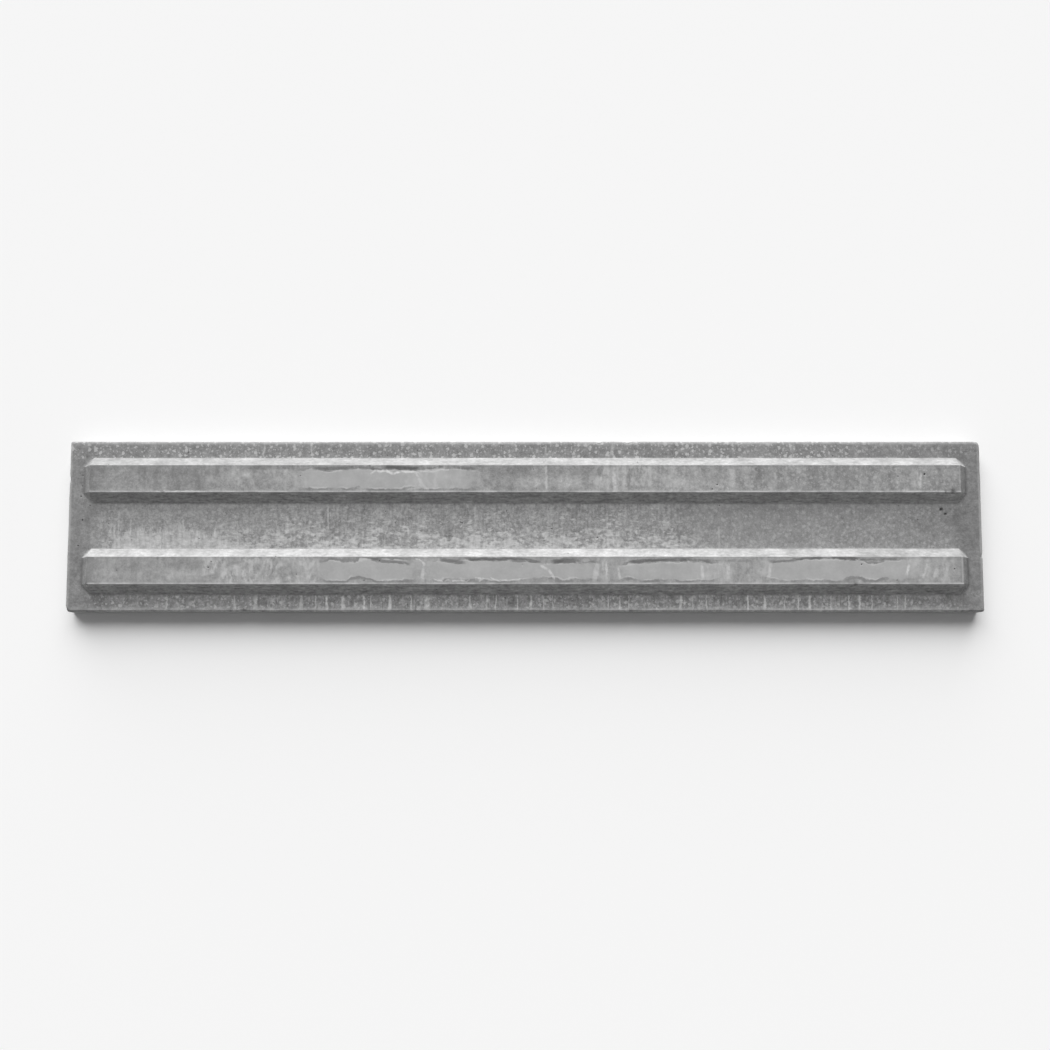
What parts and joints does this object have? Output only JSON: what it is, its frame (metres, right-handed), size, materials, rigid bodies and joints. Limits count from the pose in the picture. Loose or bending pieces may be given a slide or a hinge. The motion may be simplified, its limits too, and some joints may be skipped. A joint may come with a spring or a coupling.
{
  "type": "gravel board",
  "caption": "Flat cast-concrete plinth board for the foot of a fence, with raised horizontal ribs on its front and plain ends that drop into slotted posts.",
  "frame": {"origin": "middle of the flat back face, which lies on the floor", "axes": "+X along the board, +Y towards its top edge, +Z out of the ribbed front face"},
  "size_m": [1.84, 0.345, 0.06],
  "materials": {
    "concrete": "matt grey precast concrete, smooth from the mould on the front and floated on the back"
  },
  "bodies": {
    "root": {"gravel_board": "concrete"}
  },
  "joints": []
}
